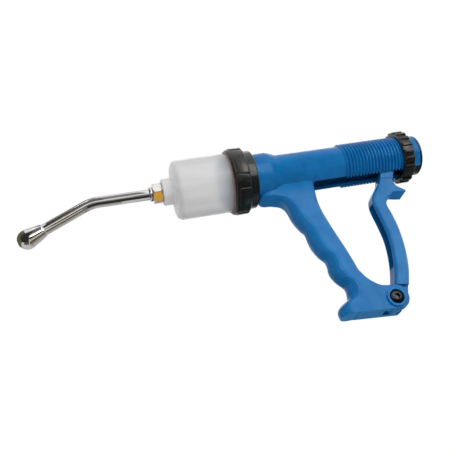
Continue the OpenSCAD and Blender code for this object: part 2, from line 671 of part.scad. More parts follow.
module inlet_valve() {
    color("#5a5a58") rod_x(inlet_seat_x - seat_gap - disc_t, inlet_seat_x - seat_gap, inlet_disc_r);
}
module inlet_spring() {
    color(steel) coil(piston_x + 0.1 + cage_t + seat_gap, inlet_seat_x - 2 * seat_gap - disc_t, 2.6, 0.5, 3);
}
module piston_rod() {
    color(steel) pipe_x(rod_front_x + seat_gap, tail_hex_x - seat_gap, rod_r, rod_bore_r);
}
module drive_spool() {
    color(black) difference() {
        union() {
            rod_x(spool_front_x, spool_front_x + spool_t, spool_r);
            rod_x(spool_front_x, tail_hex_x - seat_gap, spool_hub_r);
            rod_x(spool_rear_x, tail_hex_x - seat_gap, spool_r);
        }
        rod_x(spool_front_x - 1, tail_hex_x + 1, rod_r + seat_gap);
    }
}
module rod_clip() {
    clip_r = 5.4;
    color("#55585a") difference() {
        pipe_x(spool_front_x - 1.1, spool_front_x - seat_gap, clip_r, rod_r + seat_gap);
        translate([spool_front_x - 3, -1.2, 0]) cube([4, 2.4, clip_r + 1]);
    }
}
module hose_tail() {
    stub_len = 8;
    color("#b9975b") difference() {
        union() {
            hex_bar_x(tail_hex_x, tail_x, tail_af);
            turned([[tail_x - eps, 0], [tail_x - eps, tail_r], [tail_x + tail_len - 1, tail_r],
                [tail_x + tail_len, tail_r - 0.8], [tail_x + tail_len, 0]]);
            rod_x(tail_hex_x - stub_len, tail_hex_x + eps, rod_bore_r - seat_gap);
        }
        rod_x(tail_hex_x - stub_len - 1, tail_x + tail_len + 1, rod_bore_r - 0.8);
        rod_x(tail_x, tail_x + tail_len + 1, tail_r - 1.75);
    }
}
module rod_guide() {
    color("#e4e2da") difference() {
        union() {
            rod_x(nose_x, bulkhead_x + eps, guide_r);
            rod_x(bulkhead_x, spring_front_x, guide_flange_r);
        }
        rod_x(nose_x - 1, spring_front_x + 1, rod_r + run_gap);
    }
}
module return_spring() {
    color("#4a4c4e") coil(spring_front_x + seat_gap, spool_front_x - seat_gap, spring_r, spring_wire, spring_coils);
}

// The nozzle: hexagon, washer, collar, bent tube and tip
spigot_len = 3.6;
socket_len = 3;
module nozzle_adaptor() {
    color("#c8a860") difference() {
        union() {
            intersection() {
                rotate([-hex_turn, 0, 0]) hex_bar_x(hex_x, hex_x + hex_len, hex_af);
                // The corners of the hexagon are eased at both ends
                turned([[hex_x, 0], [hex_x, hex_af / 2], [hex_x + 1, hex_af / 2 + 1.4],
                    [hex_x + hex_len - 1, hex_af / 2 + 1.4], [hex_x + hex_len, hex_af / 2], [hex_x + hex_len, 0]]);
            }
            rod_x(hex_x + hex_len - eps, boss_x + spigot_len, chamber_r - seat_gap);
        }
        rod_x(hex_x - 1, hex_x + socket_len, nozzle_r + seat_gap);
        rod_x(hex_x, boss_x + 1, adaptor_bore_r);
        rod_x(boss_x, boss_x + spigot_len + 1, outlet_spring_r + 1);
    }
}
module nozzle_washer() {
    color("#8b8f92")
        pipe_x(boss_x - washer_t + seat_gap / 2, boss_x - seat_gap / 2, boss_r - 1.6, chamber_r + seat_gap);
}
module nozzle_collar() {
    color(steel) difference() {
        turned([[hex_x - nozzle_collar_len, 0], [hex_x - nozzle_collar_len, nozzle_collar_r - 0.6],
            [hex_x - nozzle_collar_len + 0.6, nozzle_collar_r], [hex_x - seat_gap, nozzle_collar_r],
            [hex_x - seat_gap, 0]]);
        rod_x(hex_x - nozzle_collar_len - 1, hex_x + 1, nozzle_r + seat_gap);
    }
}
bend_x = hex_x - nozzle_collar_len - nozzle_run;
// Moves its children to the nozzle's front run: their +Z then runs towards the tip
module at_nozzle_front() {
    translate([bend_x, 0, -nozzle_bend_r]) rotate([0, -nozzle_bend, 0]) translate([0, 0, nozzle_bend_r])
        rotate([0, -90, 0]) children();
}
module nozzle_tube() {
    bore = nozzle_r - nozzle_wall;
    // The bend reaches a little way into the walls of both straight runs
    lap_angle = 1;
    lap_skin = 0.02;
    color(steel) union() {
        pipe_x(bend_x, hex_x + socket_len - seat_gap, nozzle_r, bore);
        translate([bend_x, 0, -nozzle_bend_r]) rotate([90, 0, 0]) rotate([0, 0, 90 - lap_angle])
            rotate_extrude(angle = nozzle_bend + 2 * lap_angle) translate([nozzle_bend_r, 0]) difference() {
                circle(nozzle_r - lap_skin);
                circle(bore + lap_skin);
            }
        at_nozzle_front() difference() {
            cylinder(h = nozzle_reach, r = nozzle_r);
            translate([0, 0, -1]) cylinder(h = nozzle_reach + 2, r = bore);
        }
    }
}
module nozzle_tip() {
    seat = 6;
    ball_z = nozzle_reach - seat + tip_len - tip_r;
    neck_z = nozzle_reach - seat;
    color(steel) at_nozzle_front() difference() {
        rotate_extrude() polygon(concat(
            [[0, neck_z], [tip_neck_r - 0.5, neck_z], [tip_neck_r, neck_z + 0.5]],
            [for (a = [-8 : 7 : 90]) [tip_r * cos(a), ball_z + tip_r * sin(a)]],
            [[0, ball_z + tip_r]]));
        translate([0, 0, neck_z - 1]) cylinder(h = seat + 1, r = nozzle_r + seat_gap);
        cylinder(h = nozzle_reach + tip_len + 5, r = tip_hole_r);
    }
}

// The outlet valve in the barrel's boss
outlet_spring_r = 2.9;
module outlet_valve() {
    color("#5a5a58") rod_x(seat_x - seat_gap - disc_t, seat_x - seat_gap, outlet_disc_r);
}
module outlet_spring() {
    color(steel) coil(boss_x + seat_gap, seat_x - 2 * seat_gap - disc_t, outlet_spring_r, 0.6, 4);
}

gun_body();
barrel();
barrel_ring();
barrel_seal();
rod_guide();
rear_cap();
pivot_screw();
pivot_nut();
nozzle_adaptor();
nozzle_washer();
nozzle_collar();
nozzle_tube();
nozzle_tip();
outlet_valve();
outlet_spring();
lever();
lever_bush();
piston_head();
piston_seal();
valve_cage();
inlet_valve();
inlet_spring();
piston_rod();
drive_spool();
rod_clip();
hose_tail();
return_spring();
dose_nut();
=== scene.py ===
"""Looks of a hand-held livestock drencher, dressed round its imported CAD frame."""
import logging
import math
from dataclasses import dataclass, field
from enum import Enum
from typing import Sequence

import bmesh
import bpy
from mathutils import Matrix, Vector


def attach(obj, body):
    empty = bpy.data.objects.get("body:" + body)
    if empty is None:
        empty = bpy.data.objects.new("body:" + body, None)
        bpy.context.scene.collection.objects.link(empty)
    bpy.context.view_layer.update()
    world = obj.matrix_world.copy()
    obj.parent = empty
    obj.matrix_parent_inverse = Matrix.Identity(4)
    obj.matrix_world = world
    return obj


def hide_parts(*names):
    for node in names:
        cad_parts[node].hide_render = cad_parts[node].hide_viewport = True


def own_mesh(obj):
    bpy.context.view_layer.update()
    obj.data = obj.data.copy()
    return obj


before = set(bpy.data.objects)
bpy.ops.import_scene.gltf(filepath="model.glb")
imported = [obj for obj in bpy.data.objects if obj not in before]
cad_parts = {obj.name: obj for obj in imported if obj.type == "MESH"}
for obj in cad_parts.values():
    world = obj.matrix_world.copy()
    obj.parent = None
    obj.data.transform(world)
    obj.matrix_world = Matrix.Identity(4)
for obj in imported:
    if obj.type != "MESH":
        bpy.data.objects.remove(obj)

LOG = logging.getLogger("drencher")
MM = 0.001
# Most values of a noise texture lie between these two
NOISE_EDGES = (0.3, 0.7)
# Edges sharper than this are eased where a piece gives no angle of its own
CORNER_DEG = 35.0
EASE_SEGMENTS = 2
WELD_MM = 0.002
NOZZLE_BEND = math.radians(24.5)

Colour = tuple[float, float, float]
Point = tuple[float, float, float]
Pair = tuple[float, float]
Socket = bpy.types.NodeSocket


def srgb(red: int, green: int, blue: int) -> Colour:
    """Turns a colour as seen on a screen into linear light.

    Args:
        red: Red from 0 to 255.
        green: Green from 0 to 255.
        blue: Blue from 0 to 255.

    Returns:
        The linear colour, each part from 0 to 1.
    """
    def linear(value: int) -> float:
        """Gives one part in linear light."""
        part = value / 255
        return part / 12.92 if part <= 0.04045 else ((part + 0.055) / 1.055) ** 2.4

    return linear(red), linear(green), linear(blue)


class Body(str, Enum):
    """The rigid bodies that the script's own pieces ride on."""

    GUN = "gun"
    PISTON = "piston"


class Shading:
    """Builds one material's node tree, a node at a time."""

    def __init__(self, name: str) -> None:
        """Starts an empty material.

        Args:
            name: The material's name.
        """
        self.material = bpy.data.materials.new(name)
        self.material.use_nodes = True
        self.tree = self.material.node_tree
        self.tree.nodes.clear()
        self.out = self.tree.nodes.new("ShaderNodeOutputMaterial")
        self.place = self.tree.nodes.new("ShaderNodeTexCoord").outputs["Object"]

    def node(self, kind: str, **inputs: object) -> bpy.types.Node:
        """Adds a node and fills its inputs.

        Args:
            kind: The node's type, without the leading "ShaderNode".
            **inputs: Values or sockets by input name, with spaces as underscores.

        Returns:
            The new node.
        """
        made = self.tree.nodes.new("ShaderNode" + kind)
        for key, value in inputs.items():
            socket = made.inputs[key.replace("_", " ")]
            if isinstance(value, bpy.types.NodeSocket):
                self.tree.links.new(value, socket)
            else:
                socket.default_value = value
        return made

    def noise(self, size_mm: float, detail: float = 3.0,
              stretch: Sequence[float] = (1, 1, 1)) -> Socket:
        """Adds cloudy noise in the part's own frame.

        Args:
            size_mm: Size of the clouds.
            detail: Number of finer layers.
            stretch: How many times longer the clouds are along X, Y and Z.

        Returns:
            The noise's value socket.
        """
        scale = [1 / (size_mm * MM * part) for part in stretch]
        place = self.node("Mapping", Vector=self.place, Scale=scale).outputs["Vector"]
        return self.node("TexNoise", Vector=place, Scale=1.0, Detail=detail).outputs["Fac"]

    def ramp(self, value: Socket, stops: Sequence[tuple[float, Colour]]) -> Socket:
        """Turns a value into a colour.

        Args:
            value: The socket to read.
            stops: Places from 0 to 1 with their colours, in rising order.

        Returns:
            The colour socket.
        """
        made = self.node("ValToRGB", Fac=value)
        band = made.color_ramp
        while len(band.elements) < len(stops):
            band.elements.new(0.5)
        for element, (place, colour) in zip(band.elements, stops):
            element.position = place
            element.color = (*colour, 1)
        return made.outputs["Color"]

    def tint(self, value: Socket, edges: Pair, shade: Colour, colour: Colour) -> Socket:
        """Goes from a shade at the first edge of a value to a colour at the second."""
        return self.ramp(value, [(edges[0], shade), (edges[1], colour)])

    def span(self, value: Socket, low: float, high: float) -> Socket:
        """Spreads noise over a range of values.

        Args:
            value: The noise socket, which lies mostly between its usual edges.
            low: Value given at the lower edge.
            high: Value given at the upper edge.

        Returns:
            The value socket.
        """
        made = self.node(
            "MapRange", Value=value, From_Min=NOISE_EDGES[0], From_Max=NOISE_EDGES[1],
            To_Min=low, To_Max=high)
        return made.outputs["Result"]

    def bump(self, height: Socket, depth_mm: float, strength: float) -> Socket:
        """Turns a height into a normal.

        Args:
            height: The height socket.
            depth_mm: Depth between 0 and 1 of the height.
            strength: Share of the bump that shows.

        Returns:
            The normal socket.
        """
        made = self.node("Bump", Height=height, Distance=depth_mm * MM, Strength=strength)
        return made.outputs["Normal"]

    def close(self, shader: bpy.types.Node) -> bpy.types.Material:
        """Puts the last node on the surface and gives the finished material."""
        self.tree.links.new(shader.outputs[0], self.out.inputs["Surface"])
        return self.material

    def surface(self, **inputs: object) -> bpy.types.Material:
        """Closes the material with a surface shader that has these inputs."""
        return self.close(self.node("BsdfPrincipled", **inputs))


@dataclass(frozen=True)
class MouldedPlastic:
    """An opaque moulded plastic with faint clouds and a fine grain."""

    name: str
    colour: Colour
    shade: Colour
    roughness: Pair
    cloud_mm: float
    cloud_edge: float = 0.18
    cloud_detail: float = 4.0
    grain_mm: float = 0.45
    grain_detail: float = 2.0
    grain_depth_mm: float = 0.04
    grain_share: float = 0.35
    gloss_mm: float = 6.0
    specular: float = 0.42

    def make(self) -> bpy.types.Material:
        """Builds the material.

        Returns:
            The material.
        """
        s = Shading(self.name)
        clouds = s.noise(self.cloud_mm, self.cloud_detail)
        grain = s.noise(self.grain_mm, self.grain_detail)
        edges = (0.5 - self.cloud_edge, 0.5 + self.cloud_edge)
        return s.surface(
            Base_Color=s.tint(clouds, edges, self.shade, self.colour),
            Roughness=s.span(s.noise(self.gloss_mm), *self.roughness),
            Specular_IOR_Level=self.specular,
            Normal=s.bump(grain, self.grain_depth_mm, self.grain_share))


@dataclass(frozen=True)
class ClearPlastic:
    """A cloudy see-through plastic, milky at its thick front end and clearest at its mouth.

    Its clearness is given as places from 0 to 1 between the two ends, each with its weight.
    """

    name: str
    colour: Colour
    shade: Colour
    ends_mm: Pair = (-190.0, -140.0)
    clear: tuple[Pair, ...] = ((0.04, 0.2), (0.16, 0.56), (0.72, 0.56), (0.92, 0.8))
    streak_mm: float = 5.0
    streak_stretch: Point = (9, 1, 1)
    streak_edges: Pair = (0.38, 0.62)
    roughness: Pair = (0.29, 0.34)
    specular: float = 0.3
    ior: float = 1.3

    def make(self) -> bpy.types.Material:
        """Builds the material.

        Returns:
            The material.
        """
        s = Shading(self.name)
        streaks = s.noise(self.streak_mm, stretch=self.streak_stretch)
        along = s.node("SeparateXYZ", Vector=s.place).outputs["X"]
        front, mouth = (end * MM for end in self.ends_mm)
        share = s.node("MapRange", Value=along, From_Min=front, From_Max=mouth).outputs["Result"]
        stops = [(place, (weight, weight, weight)) for place, weight in self.clear]
        return s.surface(
            Base_Color=s.tint(streaks, self.streak_edges, self.shade, self.colour),
            Roughness=s.span(streaks, *self.roughness),
            Transmission_Weight=s.ramp(share, stops),
            Specular_IOR_Level=self.specular,
            IOR=self.ior)


@dataclass(frozen=True)
class BareMetal:
    """A plated, turned or drawn metal with fine marks along or round it."""

    name: str
    colour: Colour
    shade: Colour
    roughness: Pair
    cloud_mm: float = 9.0
    mark_mm: float = 0.5
    mark_stretch: Point = (12, 1, 1)
    mark_depth_mm: float = 0.006
    mark_share: float = 0.3

    def make(self) -> bpy.types.Material:
        """Builds the material.

        Returns:
            The material.
        """
        s = Shading(self.name)
        marks = s.noise(self.mark_mm, stretch=self.mark_stretch)
        clouds = s.noise(self.cloud_mm)
        return s.surface(
            Base_Color=s.tint(clouds, NOISE_EDGES, self.shade, self.colour),
            Metallic=1.0,
            Roughness=s.span(clouds, *self.roughness),
            Normal=s.bump(marks, self.mark_depth_mm, self.mark_share))


class Palette:
    """Every finish of the drencher, each made once."""

    def __init__(self) -> None:
        """Makes the materials."""
        self.blue = MouldedPlastic(
            "blue_nylon", srgb(7, 114, 178), srgb(2, 103, 167),
            roughness=(0.29, 0.38), cloud_mm=11.0, cloud_edge=0.12, specular=0.25).make()
        self.lever_blue = MouldedPlastic(
            "lever_nylon", srgb(11, 112, 175), srgb(6, 104, 166),
            roughness=(0.29, 0.38), cloud_mm=11.0, cloud_edge=0.12, specular=0.3).make()
        self.black = MouldedPlastic(
            "black_nylon", srgb(28, 30, 27), srgb(18, 19, 17),
            roughness=(0.24, 0.36), cloud_mm=9.0, grain_mm=0.5, grain_depth_mm=0.03,
            specular=0.48).make()
        self.clear = ClearPlastic(
            "milky_barrel", (0.91, 0.905, 0.905), (0.84, 0.835, 0.835)).make()
        self.chrome = BareMetal(
            "bright_plate", (0.84, 0.83, 0.84), (0.78, 0.76, 0.75),
            roughness=(0.05, 0.1), mark_share=0.08).make()
        self.zinc = BareMetal(
            "zinc_steel", (0.66, 0.67, 0.69), (0.56, 0.57, 0.58), roughness=(0.25, 0.4)).make()
        self.wire = BareMetal(
            "spring_steel", (0.42, 0.43, 0.45), (0.33, 0.33, 0.34), roughness=(0.25, 0.38)).make()
        self.brass = BareMetal(
            "brass", (0.78, 0.58, 0.26), (0.70, 0.50, 0.21), roughness=(0.2, 0.34)).make()
        self.black_steel = BareMetal(
            "black_steel", (0.07, 0.07, 0.075), (0.045, 0.045, 0.05), roughness=(0.3, 0.45)).make()
        self.acetal = MouldedPlastic(
            "white_acetal", srgb(216, 217, 212), srgb(203, 204, 200),
            roughness=(0.35, 0.5), cloud_mm=12.0).make()
        self.blue_acetal = MouldedPlastic(
            "blue_acetal", srgb(80, 152, 208), srgb(70, 140, 196),
            roughness=(0.35, 0.5), cloud_mm=12.0).make()
        self.seal = MouldedPlastic(
            "seal_rubber", srgb(28, 66, 98), srgb(22, 56, 84),
            roughness=(0.5, 0.62), cloud_mm=6.0).make()
        self.red = MouldedPlastic(
            "red_rubber", srgb(150, 112, 112), srgb(136, 98, 98),
            roughness=(0.45, 0.6), cloud_mm=6.0).make()
        self.valve = MouldedPlastic(
            "valve_rubber", srgb(84, 84, 82), srgb(72, 72, 70),
            roughness=(0.5, 0.62), cloud_mm=5.0).make()


def dress(name: str, material: bpy.types.Material, round_mm: float = 0.0,
          corner_deg: float = CORNER_DEG) -> None:
    """Gives a CAD node its finish and eases its sharp edges.

    Args:
        name: The node.
        material: Its finish.
        round_mm: Width of the eased edges, or 0 for none.
        corner_deg: Edges sharper than this are eased.
    """
    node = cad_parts[name]
    node.data.materials.clear()
    node.data.materials.append(material)
    if round_mm > 0:
        weld = node.modifiers.new("weld", "WELD")
        weld.merge_threshold = WELD_MM * MM
        ease = node.modifiers.new("ease", "BEVEL")
        ease.width = round_mm * MM
        ease.segments = EASE_SEGMENTS
        ease.limit_method = "ANGLE"
        ease.angle_limit = math.radians(corner_deg)
        ease.use_clamp_overlap = False
        ease.loop_slide = False
        ease.harden_normals = True
    LOG.info("dressed %s", name)


def add_object(name: str, mesh: bmesh.types.BMesh,
               material: bpy.types.Material) -> bpy.types.Object:
    """Turns a finished mesh into an object of the scene.

    Args:
        name: The object's name.
        mesh: Its mesh, which is used up.
        material: Its finish.

    Returns:
        The object.
    """
    data = bpy.data.meshes.new(name)
    mesh.to_mesh(data)
    mesh.free()
    data.materials.append(material)
    made = bpy.data.objects.new(name, data)
    bpy.context.scene.collection.objects.link(made)
    return made


def add_sheet(name: str, size: Pair, material: bpy.types.Material) -> bpy.types.Object:
    """Adds a flat level sheet round the origin.

    Args:
        name: The sheet's name.
        size: Its width and length in metres.
        material: Its finish.

    Returns:
        The sheet.
    """
    mesh = bmesh.new()
    bmesh.ops.create_grid(mesh, x_segments=1, y_segments=1, size=0.5)
    bmesh.ops.scale(mesh, vec=(*size, 1), verts=mesh.verts)
    return add_object(name, mesh, material)


@dataclass
class CoilSpring:
    """A wire spring round the barrel's axis, with closed end turns. Sizes in millimetres.

    The pitch of the closed turns is given in widths of the wire.
    """

    name: str
    node: str
    start: float
    end: float
    radius: float
    wire: float
    turns: float
    end_turns: float = 0.85
    closed_pitch: float = 1.04
    steps: int = 28
    sides: int = 10

    def centre(self, share: float) -> Vector:
        """Gives a point of the wire's centre line.

        Args:
            share: Place along the wire, from 0 to 1.

        Returns:
            The point in metres.
        """
        turn = share * (self.turns + 2 * self.end_turns)
        low, high = self.start + self.wire / 2, self.end - self.wire / 2
        pitch = self.wire * self.closed_pitch
        closed = pitch * self.end_turns
        if turn <= self.end_turns:
            x = low + pitch * turn
        elif turn >= self.end_turns + self.turns:
            x = high - pitch * (2 * self.end_turns + self.turns - turn)
        else:
            x = low + closed + (high - low - 2 * closed) * (turn - self.end_turns) / self.turns
        angle = math.tau * turn
        return Vector((x, self.radius * math.cos(angle), self.radius * math.sin(angle))) * MM

    def sweep(self) -> bmesh.types.BMesh:
        """Sweeps the wire's round section along its centre line.

        Returns:
            The closed mesh of the wire.
        """
        mesh = bmesh.new()
        count = int(self.steps * (self.turns + 2 * self.end_turns))
        points = [self.centre(k / count) for k in range(count + 1)]
        rings = []
        for k, point in enumerate(points):
            along = (points[min(k + 1, count)] - points[max(k - 1, 0)]).normalized()
            outward = Vector((0, point.y, point.z)).normalized()
            side = along.cross(outward).normalized()
            outward = side.cross(along)
            ring = []
            for j in range(self.sides):
                turn = math.tau * j / self.sides
                offset = (math.cos(turn) * outward + math.sin(turn) * side) * self.wire / 2 * MM
                ring.append(mesh.verts.new(point + offset))
            rings.append(ring)
        for first, second in zip(rings, rings[1:]):
            for j in range(self.sides):
                m = (j + 1) % self.sides
                mesh.faces.new((first[j], first[m], second[m], second[j]))
        mesh.faces.new(rings[0])
        mesh.faces.new(rings[-1][::-1])
        bmesh.ops.recalc_face_normals(mesh, faces=mesh.faces)
        for face in mesh.faces:
            face.smooth = True
        return mesh

    def build(self, material: bpy.types.Material, body: Body) -> bpy.types.Object:
        """Winds the spring and lets it stand in for its node.

        Args:
            material: The wire's finish.
            body: The body that carries the spring.

        Returns:
            The piece.
        """
        piece = add_object(self.name, self.sweep(), material)
        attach(piece, body.value)
        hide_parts(self.node)
        LOG.info("made %s", self.name)
        return piece


@dataclass
class GunBody:
    """The blue moulding with its ring, cap, rod guide and pivot screw."""

    ring_edge_mm: float = 0.35
    cap_edge_mm: float = 0.2
    screw_edge_mm: float = 0.2
    guide_edge_mm: float = 0.2

    def dress(self, palette: Palette) -> None:
        """Finishes the nodes.

        Args:
            palette: The drencher's finishes.
        """
        dress("gun_body", palette.blue)
        dress("barrel_ring", palette.black, self.ring_edge_mm)
        dress("rear_cap", palette.black, self.cap_edge_mm)
        dress("pivot_screw", palette.black_steel, self.screw_edge_mm)
        dress("pivot_nut", palette.zinc, self.screw_edge_mm)
        dress("rod_guide", palette.acetal, self.guide_edge_mm)


@dataclass
class Barrel:
    """The clear barrel, its red sealing ring and the outlet valve in its boss."""

    spring: CoilSpring = field(default_factory=lambda: CoilSpring(
        "outlet_spring_wire", "outlet_spring", start=-195.06, end=-189.28, radius=2.9,
        wire=0.6, turns=3.0, end_turns=0.6, steps=24, sides=8))
    lifted_share: float = 0.79
    valve_edge_mm: float = 0.15

    def dress(self, palette: Palette) -> None:
        """Finishes the nodes and winds the valve's spring.

        Args:
            palette: The drencher's finishes.
        """
        dress("barrel", palette.clear)
        dress("barrel_seal", palette.red)
        dress("outlet_valve", palette.valve, self.valve_edge_mm)
        piece = self.spring.build(palette.wire, Body.GUN)
        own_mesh(piece)


@dataclass
class Nozzle:
    """The plated nozzle in front of the barrel.

    The hexagon's own angle keeps its blunt chamfers as they are.
    """

    hex_edge_mm: float = 0.25
    hex_corner_deg: float = 57.0
    turned_edge_mm: float = 0.2

    def dress(self, palette: Palette) -> None:
        """Finishes the nodes.

        Args:
            palette: The drencher's finishes.
        """
        dress("nozzle_adaptor", palette.chrome, self.hex_edge_mm, self.hex_corner_deg)
        dress("nozzle_washer", palette.zinc)
        dress("nozzle_collar", palette.chrome, self.turned_edge_mm)
        dress("nozzle_tube", palette.chrome)
        dress("nozzle_tip", palette.chrome, self.turned_edge_mm)


@dataclass
class Lever:
    """The squeezed lever and the bush in its eye."""

    bush_edge_mm: float = 0.15

    def dress(self, palette: Palette) -> None:
        """Finishes the nodes."""
        dress("lever", palette.lever_blue)
        dress("lever_bush", palette.brass, self.bush_edge_mm)


@dataclass
class Piston:
    """The piston, its inlet valve, the hollow rod and the return spring.

    The spool's wide edge clears the lever's stems at full squeeze.
    """

    return_spring: CoilSpring = field(default_factory=lambda: CoilSpring(
        "return_spring_wire", "return_spring", start=-123.96, end=-19.64, radius=7.0,
        wire=1.5, turns=15.3))
    inlet_spring: CoilSpring = field(default_factory=lambda: CoilSpring(
        "inlet_spring_wire", "inlet_spring", start=-146.96, end=-143.18, radius=2.6,
        wire=0.5, turns=2.0, end_turns=0.5, steps=24, sides=8))
    squeezed_share: float = 0.674
    lifted_share: float = 0.68
    head_edge_mm: float = 0.2
    seal_edge_mm: float = 0.3
    valve_edge_mm: float = 0.15
    spool_edge_mm: float = 0.5
    tail_edge_mm: float = 0.2

    def dress(self, palette: Palette) -> None:
        """Finishes the nodes and winds the springs.

        Args:
            palette: The drencher's finishes.
        """
        dress("piston_head", palette.blue_acetal, self.head_edge_mm)
        dress("piston_seal", palette.seal, self.seal_edge_mm)
        dress("valve_cage", palette.acetal)
        dress("inlet_valve", palette.valve, self.valve_edge_mm)
        dress("piston_rod", palette.zinc)
        dress("drive_spool", palette.black, self.spool_edge_mm)
        dress("rod_clip", palette.wire)
        dress("hose_tail", palette.brass, self.tail_edge_mm)
        wound = self.return_spring.build(palette.wire, Body.GUN)
        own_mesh(wound)
        small = self.inlet_spring.build(palette.wire, Body.PISTON)
        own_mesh(small)


@dataclass
class DoseNut:
    """The ribbed nut on the dose thread."""

    edge_mm: float = 0.25

    def dress(self, palette: Palette) -> None:
        """Finishes the node."""
        dress("dose_nut", palette.black, self.edge_mm)


class Lie(Enum):
    """How a card is turned. The last two follow the nozzle's front run."""

    LEVEL = (0.0, 0.0, 0.0)
    UPRIGHT = (math.pi / 2, 0.0, 0.0)
    ENDWISE = (0.0, math.pi / 2, 0.0)
    SLOPED = (0.0, -NOZZLE_BEND, 0.0)
    TILTED = (math.pi / 2, -NOZZLE_BEND, 0.0)


@dataclass(frozen=True)
class Card:
    """A coloured card of the studio that only shows in reflections. Sizes in metres."""

    name: str
    lie: Lie
    place: Point
    size: Pair
    colour: Colour

    def build(self) -> None:
        """Sets the card up."""
        s = Shading(self.name)
        glow = s.close(s.node("Emission", Color=(*self.colour, 1), Strength=1.0))
        glow.cycles.emission_sampling = "NONE"
        card = add_sheet(self.name, self.size, glow)
        card.location = self.place
        card.rotation_euler = self.lie.value
        card.visible_camera = False
        card.visible_diffuse = False
        card.visible_transmission = False
        card.visible_shadow = False


# Near cards give each run of the nozzle its own bands, far ones the plastic its sheen
CARDS = (
    Card("brown_card", Lie.TILTED, (-0.325, -0.155, 0.186), (0.1, 0.4), (0.075, 0.06, 0.042)),
    Card("umber_card", Lie.UPRIGHT, (-0.216, -0.15, 0.1315), (0.042, 0.237), (0.25, 0.235, 0.225)),
    Card("sky_card", Lie.LEVEL, (-0.195, 0.0, 0.15), (0.11, 0.17), (0.8, 0.8, 0.84)),
    Card("shade_card", Lie.SLOPED, (-0.3084, 0.0, 0.1381), (0.09, 0.12), (0.25, 0.24, 0.22)),
    Card("black_card", Lie.LEVEL, (-0.2257, -0.0103, -0.014), (0.0427, 0.0161),
         (0.03, 0.03, 0.028)),
    Card("dusk_card", Lie.LEVEL, (-0.2235, -0.028, -0.014), (0.047, 0.0194), (0.25, 0.25, 0.25)),
    Card("hex_card", Lie.LEVEL, (-0.184, -0.0165, -0.05), (0.028, 0.022), (0.66, 0.36, 0.05)),
    Card("gold_card", Lie.SLOPED, (-0.2528, -0.0431, -0.0563), (0.062, 0.033), (0.55, 0.5, 0.38)),
    Card("line_card", Lie.SLOPED, (-0.2528, -0.0155, -0.0563), (0.062, 0.0222), (0.09, 0.08, 0.04)),
    Card("grey_card", Lie.SLOPED, (-0.2528, 0.0095, -0.0563), (0.062, 0.0277), (0.3, 0.3, 0.285)),
    Card("pale_card", Lie.SLOPED, (-0.2528, 0.0533, -0.0563), (0.062, 0.06), (0.5, 0.5, 0.48)),
    Card("back_card", Lie.UPRIGHT, (-0.17, 0.3, 0.065), (0.2, 0.07), (0.3, 0.31, 0.33)),
    Card("left_card", Lie.ENDWISE, (-0.5, -0.1, 0.235), (0.73, 0.8), (0.12, 0.11, 0.065)),
    Card("corner_card", Lie.UPRIGHT, (-0.42, -0.5, 0.02), (0.16, 0.3), (0.09, 0.075, 0.055)),
    Card("warm_card", Lie.UPRIGHT, (-0.105, -0.15, 0.0325), (0.03, 0.055), (3.2, 2.7, 1.1)),
    Card("ring_card", Lie.UPRIGHT, (-0.105, -0.15, 0.13), (0.03, 0.14), (0.3, 0.3, 0.28)),
    Card("tube_card", Lie.UPRIGHT, (-0.06, -0.035, 0.0085), (0.076, 0.031), (0.04, 0.06, 0.08)),
    Card("nut_card", Lie.UPRIGHT, (0.0175, -0.12, 0.05), (0.025, 0.1), (1.6, 1.3, 0.6)),
    Card("front_card", Lie.UPRIGHT, (0.22, -0.5, -0.006), (0.44, 0.248), (0.08, 0.07, 0.05)),
    Card("foot_card", Lie.LEVEL, (-0.06, 0.03, -0.129), (0.1, 0.07), (0.18, 0.42, 0.52)),
    Card("dark_floor", Lie.LEVEL, (0.12, -0.05, -0.1295), (0.62, 0.9), (0.02, 0.04, 0.06)),
    Card("veil_card", Lie.UPRIGHT, (0.135, -0.45, 0.125), (0.37, 0.35), (4.6, 4.6, 4.6)),
    Card("collar_card", Lie.UPRIGHT, (0.02, -0.45, 0.4), (0.1, 0.2), (3.0, 3.0, 3.0)),
    Card("dome_card", Lie.UPRIGHT, (-0.335, -0.036, -0.035), (0.1, 0.086), (0.03, 0.027, 0.03)),
    Card("under_card", Lie.LEVEL, (-0.312, -0.04, -0.078), (0.055, 0.07), (0.12, 0.1, 0.055)),
    Card("bend_card", Lie.LEVEL, (-0.2585, 0.0, 0.152), (0.026, 0.17), (0.45, 0.45, 0.46)),
    Card("bend_front_card", Lie.UPRIGHT, (-0.256, -0.152, 0.15), (0.04, 0.25), (0.16, 0.15, 0.14)),
    Card("tip_card", Lie.SLOPED, (-0.3013, -0.02, 0.0202), (0.0147, 0.04), (0.8, 0.8, 0.8)))


@dataclass(frozen=True)
class Lamp:
    """A soft square lamp that faces the gun. Sizes in metres, power in watts.

    A lamp that isn't mirrored shows in no reflection, and a card takes its place there.
    """

    name: str
    offset: Point
    size: float
    power: float
    mirrored: bool = True
    target: Point = (-0.14, 0.0, -0.04)

    def build(self) -> None:
        """Hangs the lamp at its offset from the target."""
        data = bpy.data.lights.new(self.name, "AREA")
        data.shape = "SQUARE"
        data.size = self.size
        data.energy = self.power
        lamp = bpy.data.objects.new(self.name, data)
        target = Vector(self.target)
        lamp.location = target + Vector(self.offset)
        lamp.rotation_mode = "QUATERNION"
        lamp.rotation_quaternion = (target - lamp.location).to_track_quat("-Z", "Y")
        lamp.visible_glossy = self.mirrored
        bpy.context.scene.collection.objects.link(lamp)


LAMPS = (
    Lamp("key", (0.25, -0.92, 0.42), 0.7, 5.0, mirrored=False),
    Lamp("top", (-0.5, -0.2, 1.1), 0.8, 3.0),
    Lamp("rear", (0.4, 0.9, 0.7), 0.8, 2.0),
    Lamp("left", (-0.95, -0.35, 0.1), 0.8, 1.5),
    Lamp("low", (0.55, 0.3, -0.75), 0.8, 2.5))


